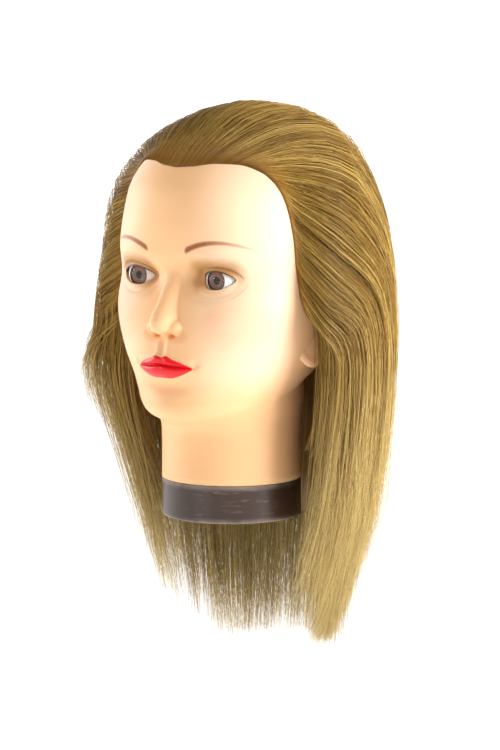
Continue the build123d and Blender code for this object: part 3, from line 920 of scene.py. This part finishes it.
def strand_paths(lane, root, layer, tip, rng, clump):
    """Points along many strands at once: over the skull by direction, then down the hanging curtain by height.

    Over the skull the distance from the centre is a mix of scalp and outline, by layer. Below it the bearing stays and
    the strand follows the same mix of the outline and an inner curtain, and locks draw together towards the tips.
    """
    count, lane, layer, root = len(lane), lane[:, None], layer[:, None], root[:, None]
    share = root + (1 - root) * (np.linspace(0, 1, SKULL_STEPS) ** 1.15)[None, :]
    gone = share - root
    wide = np.clip(lane + rng.normal(0, 0.02, (count, 1)) * np.sin(gone * 3.0), -1, 1)
    ray = over_skull(wide, share)
    right = smooth_step(0.15, 0.6, -wide)
    lifted = smooth_step(0, 0.5 - 0.18 * right, gone) * layer
    fade = np.maximum(smooth_step(0.0, 0.3, share), right)
    scalp, outline = look_up(SCALP, ray), look_up(OUTLINE, ray) * (1 + 0.065 * right)
    distance = scalp + 0.15 + smooth_step(0, 0.07, gone) + (outline - scalp) * lifted * (0.25 + 0.75 * fade)
    upper = CENTRE + ray * distance[..., None]

    last_x, last_y, last_z = np.moveaxis(upper[:, -1:], -1, 0)
    fall = np.linspace(0, 1, HANGING_STEPS)[None, 1:]
    z = last_z + (tip[:, None] - last_z) * fall
    s = station_at(HAIR, np.maximum(z, HAIR[0, 0]), 0.0)
    forward = np.where(lane < 0, -3.0, -4.0) * np.abs(lane) ** 3 * smooth_step(0.0, 0.55, fall) * np.sign(lane)
    bearing = np.arctan2(last_x, AXIS_Y - last_y) + np.radians(clump[:, None] * fall ** 1.3 + forward)
    bearing = bearing + rng.normal(0, 0.05, (count, 1)) * fall ** 3 + rng.normal(0, 0.002, fall.shape)
    sine, cosine = np.sin(bearing), np.cos(bearing)
    depth = np.where(cosine > 0, np.maximum(AXIS_Y - s[..., 3], 40.0), s[..., 4] - AXIS_Y)
    outer = 1 / np.sqrt((sine / s[..., 2]) ** 2 + (cosine / depth) ** 2)
    outer = outer * (1 + 0.18 * smooth_step(0.1, 0.4, lane) * hump(z, 6, 36))
    outer = outer * (1 + 0.125 * smooth_step(0.35, 0.95, -lane) * hump(z, 100, 55))
    inner = np.maximum(outer - 27.0, 58.0 + 14 * np.clip(-cosine, 0, 1))
    mix = smooth_step(0.0, 0.35, fall)
    radius = np.hypot(last_x, last_y - AXIS_Y) * (1 - mix) + (inner + (outer - inner) * layer) * mix
    radius = radius + (rng.normal(0, 1.6, (count, 1)) * fall + rng.normal(0, 0.15, z.shape)
                       + rng.normal(0, 4.0, (count, 1)) * fall ** 4)
    lower = np.stack([radius * sine, AXIS_Y - radius * cosine, z], axis=-1)
    paths = np.concatenate([upper, lower], axis=1)
    for _ in range(7):
        paths[:, 8:-1] = (paths[:, 7:-2] + 2 * paths[:, 8:-1] + paths[:, 9:]) / 4
    return paths


print("lane 0.5 hangs at a bearing of", round(float(end_bearing(0.5)), 1))

# %% [markdown]
# ## Hair finish
#
# The hair is real dark-blond hair: brown and olive at the roots, straw towards the tips. Each strand carries two
# numbers in its map, its own tone and how far along it is, and the finish turns those into colour. So thousands of
# strands share one small chart.


# %% Hair colour from tone and distance
def hair_finish():
    """Tone picks a colour from dark to straw; roots are warmer and the ends of light strands paler."""
    hair = Finish("hair", Roughness=0.42, IOR=1.5, Specular_IOR_Level=0.3)
    chart = hair.node("ShaderNodeUVMap", {"uv_map": "OFBake"})
    tone, along, _ = hair.split(chart)
    colour = hair.blend(tone.ramp(0.0, 0.55), tint(98, 68, 17), tint(158, 121, 47))
    colour = hair.blend(tone.ramp(0.5, 1.0), colour, tint(204, 172, 92))
    colour = hair.blend(along.ramp(0.17, 0.0) * 0.75, colour, tint(138, 86, 14))
    colour = hair.blend(along.ramp(0.6, 1.0) * (tone * 1.1), colour, tint(232, 208, 136))
    return hair.feed(Base_Color=colour).material


HAIR_FINISH = hair_finish()

# %% [markdown]
# ## Strands
#
# A strand is a thin three-sided tube that tapers to its tip; three sides keep thirteen thousand strands light. They are
# grouped by the section of the comb-out they belong to, as a hairdresser would clip them, and each group stands for
# one section of the CAD hair.


# %% Tubes along many paths at once
def strand_tubes(paths, thickness, tone):
    """Three-sided tubes: at each point two vectors square to the path carry a small triangle."""
    count, length = paths.shape[:2]
    ahead = unit(np.gradient(paths, axis=1))
    outward = paths - np.array([0.0, AXIS_Y, 120.0])
    across = unit(np.cross(ahead, outward))
    rise = np.cross(across, ahead)
    along = np.linspace(0, 1, length)
    taper = np.interp(along, (0, 0.06, 0.7, 1.0), (0.75, 1.0, 0.9, 0.22))
    corner = np.radians([90, 210, 330])
    ring = (across[:, :, None, :] * np.cos(corner)[:, None] + rise[:, :, None, :] * np.sin(corner)[:, None])
    points = paths[:, :, None, :] + ring * (thickness[:, None] * taper)[:, :, None, None]
    index = np.arange(count * length * 3).reshape(count, length, 3)
    following = np.roll(index, -1, axis=2)
    quads = np.stack([index[:, :-1], index[:, 1:], following[:, 1:], following[:, :-1]], axis=-1).reshape(-1, 4)
    ends = np.concatenate([index[:, 0], index[:, -1, ::-1]])
    chart = np.stack([np.broadcast_to(tone[:, None, None], index.shape),
                      np.broadcast_to(along[None, :, None], index.shape)], axis=-1)
    return points.reshape(-1, 3), [quads, ends], chart.reshape(-1, 2)


SECTIONS = (
    # name, least and greatest size of lane, CAD section; {} stands for left or right
    ("hair_side_{}", 0.66, 1.0, "hair_side_{}"),
    ("hair_temple_{}", 0.4, 0.66, "hair_rear_{}"),
    ("hair_rear_{}", 0.18, 0.4, "hair_rear_{}"),
    ("hair_nape_{}", 0.0, 0.18, "hair_nape"),
)
STRANDS = 1640
STRANDS_IN_A_LOCK = 45
CUT_LANES = (0, 0.25, 0.5, 0.75, 1.0)
LONGEST, SHORTEST = (-102, -98, -80, -58, -44), (-46, -36, -8, 26, 40)
LOWEST_TIP = -97.0


def tip_height(lane, layer, rng):
    """Where strands end: a layered cut, short beside the face and longest behind, with a ragged edge."""
    size = np.abs(lane)
    longest, shortest = np.interp(size, CUT_LANES, LONGEST), np.interp(size, CUT_LANES, SHORTEST)
    tip = longest + (shortest - longest) * rng.random(len(lane)) ** 1.8
    flick = (layer > 0.7) & (rng.random(len(lane)) < 0.65 * smooth_step(-0.35, -0.6, lane))
    return np.where(flick, rng.normal(68, 16, len(lane)), tip)


def grow(name, low, high, side, node, count, seed):
    """One section of the hair: random lanes, roots, layers and tones, drawn together in locks."""
    rng = np.random.default_rng(seed)
    lane = side * (low + (high - low) * (np.arange(count) + rng.random(count)) / count)
    root = np.where(rng.random(count) < 0.34, 0.0, rng.random(count) * 0.86)
    layer = np.where(root > 0.45, rng.random(count) ** 0.55, 0.08 + 0.92 * rng.random(count) ** 0.8)
    layer = np.clip(layer - root * 0.1, 0.03, 1)
    locks = np.sort(rng.random(max(6, count // STRANDS_IN_A_LOCK)))
    place = (np.abs(lane) - low) / (high - low)
    nearest = locks[np.abs(place[:, None] - locks[None, :]).argmin(axis=1)]
    lock_tone = np.sin(nearest * 173.0 + seed) * 0.19
    tips = tip_height(lane, layer, rng) + 17.0 * np.sin(nearest * 97.0 + seed)
    tips = np.maximum(tips, LOWEST_TIP + rng.normal(0, 2.5, count))
    draw = 0.8 * (nearest - place) * side * (end_bearing(high) - end_bearing(low)) + rng.normal(0, 1.0, count)
    paths = strand_paths(lane, root, layer, tips, rng, draw)
    tone = np.clip(0.52 + lock_tone + rng.normal(0, 0.25, count) + 0.12 * (layer - 0.5), 0.02, 0.98)
    points, faces, chart = strand_tubes(paths, rng.uniform(0.13, 0.25, count), tone)
    add_piece(name + "_strands", points, faces, (HAIR_FINISH,), uv=chart, slot="hair", stands_for=(node, "hair_crown"))


seed = 11
for name, low, high, node in SECTIONS:
    for side_name, side in SIDES:
        grow(name.format(side_name), low, high, side, node.format(side_name), STRANDS, seed)
        seed += 1

# %% [markdown]
# ## The body of the hair
#
# Between the strands one sees more hair, never the scalp. A closed shell along the same flow lines fills the depth, in
# the darker tones of hair in shade.


# %% Hair mass along the flow lines
def mass_finish():
    """Dark hair tones in narrow streaks along the lanes."""
    mass = Finish("hair_mass", Roughness=0.55, IOR=1.5)
    chart = mass.node("ShaderNodeUVMap", {"uv_map": "OFBake"})
    streaks = mass.noise(mass.stretch(chart, 620.0, 2.4, 1.0), 1.0, 3.0, 0.6)
    colour = mass.blend(streaks.ramp(0.3, 0.7), tint(96, 68, 19), tint(152, 116, 46))
    mass.feed(Base_Color=colour, Roughness=0.45 + streaks * 0.2)
    return mass.bump(streaks, 0.3, 0.0005).material


def mass_points(lanes=241):
    """The flow lines at one middle layer outside and near the scalp inside, thinner towards the tips."""
    lane = np.linspace(-0.93, 0.965, lanes)
    rng = np.random.default_rng(5)
    tips = np.interp(lane, np.linspace(-1, 1, 9), (112, 84, 30, -12, -14, -14, -4, 24, 56))
    tips = tips + rng.normal(0, 3, lanes) - 3.0 * np.sin(lane * 61.0)
    root, near_scalp, still = np.full(lanes, 0.012), np.full(lanes, 0.04), np.zeros(lanes)
    layer = np.interp(lane, (-1, -0.4, 0, 1), (0.78, 0.76, 0.62, 0.62))
    out = strand_paths(lane, root, layer, tips, rng, still)
    inside = strand_paths(lane, root, near_scalp, tips, rng, still)
    thin = np.interp(np.linspace(0, 1, out.shape[1]), (0, 0.62, 1), (1, 1, 0.12))[None, :, None]
    return inside + (out - inside) * thin, inside


outer, inner = mass_points()
loop = np.concatenate([outer, inner[::-1]], axis=0).transpose(1, 0, 2)
lane_share = np.concatenate([np.linspace(0, 1, len(outer)), np.linspace(1, 0, len(inner))])
chart = np.stack(np.meshgrid(lane_share, np.linspace(0, 1, loop.shape[0])), axis=-1).reshape(-1, 2)
count = loop.shape[1]
pair = np.arange(count // 2 - 1)
strip = np.stack([pair, pair + 1, count - 2 - pair, count - 1 - pair], axis=-1)
bottom = strip + (loop.shape[0] - 1) * count
faces = sheet_faces(*loop.shape[:2], ring=True) + [strip[:, ::-1], bottom]
add_piece("hair_mass", loop.reshape(-1, 3), faces, (mass_finish(),), uv=chart, slot="hair",
          stands_for=("hair_crown", "hair_nape"))

# %% [markdown]
# ## Floor, light and camera
#
# The head hangs over a seamless pale floor, as a clamp would hold it. Two broad lamps stand at its sides and one above.
# A weak lamp below softens the shade under the chin, and a small one gives the eyes their spark.


# %% Studio
CAMERA_BEARING, CAMERA_DISTANCE, CAMERA_HEIGHT = 37, 2.6, 0.442
FLOOR_DROP, BEND_RADIUS = 420, 2700


def studio_sheet():
    """A floor that curves up into a wall far behind, square to the camera."""
    bend = np.linspace(0.1, np.pi / 2, 14)
    depth = np.concatenate([np.linspace(-12000, 7800, 8), 7800 + BEND_RADIUS * np.sin(bend), np.full(6, 10500.0)])
    height = np.concatenate([np.zeros(8), BEND_RADIUS * (1 - np.cos(bend)), np.linspace(3300, 15000, 6)]) - FLOOR_DROP
    turn = np.radians(CAMERA_BEARING)
    x, d = np.meshgrid(np.linspace(-15000, 15000, 12), depth)
    z = np.broadcast_to(height[:, None], x.shape)
    return np.stack([x * np.cos(turn) - d * np.sin(turn), x * np.sin(turn) + d * np.cos(turn), z], axis=-1)


sheet = studio_sheet()
floor_mesh = bpy.data.meshes.new("studio_floor")
floor_mesh.from_pydata((sheet.reshape(-1, 3) * MM).tolist(), [], sheet_faces(*sheet.shape[:2])[0].tolist())
floor_mesh.shade_smooth()
floor = add_object("studio_floor", floor_mesh)
pale = Finish("pale_floor", Roughness=0.9, Base_Color=(0.5, 0.5, 0.5, 1.0),
              Emission_Color=(1.0, 1.0, 1.0, 1.0), Emission_Strength=0.95)
floor_mesh.materials.append(pale.material)


def lamp(name, bearing, climb, distance, size, watts, colour):
    """A square lamp that faces the head."""
    data = bpy.data.lights.new(name, "AREA")
    data.shape, data.size, data.energy, data.color = "SQUARE", size, watts, colour
    light = add_object(name, data)
    target = Vector((0.0, 0.0, 0.13))
    light.location = target + Vector(direction(bearing, climb)) * distance
    light.rotation_euler = (target - light.location).to_track_quat("-Z", "Y").to_euler()


lamp("lamp_right", 104, 12, 1.5, 0.9, 34, (0.97, 0.94, 1.0))
lamp("lamp_left", -74, 10, 1.6, 0.9, 13, (1.0, 0.96, 0.96))
lamp("lamp_low", -12, -14, 1.8, 0.8, 1.5, (1.0, 0.95, 0.9))
lamp("lamp_spark", -31, 16, 1.6, 0.2, 2.5, (1.0, 1.0, 1.0))
lamp("lamp_top", 40, 72, 1.7, 1.1, 7, (1.0, 0.98, 0.95))

world = bpy.data.worlds.new("studio_air")
world.use_nodes = True
background = world.node_tree.nodes["Background"].inputs
background["Color"].default_value = (1.0, 0.985, 0.96, 1.0)
background["Strength"].default_value = 0.24
bpy.context.scene.world = world
bpy.context.scene.view_settings.view_transform = "Standard"

camera_data = bpy.data.cameras.new("camera")
camera_data.lens = 183.0
camera_data.sensor_width = 36.0
camera = add_object("camera", camera_data)
camera.location = Vector(direction(CAMERA_BEARING, 0)) * CAMERA_DISTANCE + Vector((0, 0, CAMERA_HEIGHT))
look = Vector((0.010, 0.008, 0.096)) - camera.location
camera.rotation_euler = look.to_track_quat("-Z", "Y").to_euler()
bpy.context.scene.camera = camera
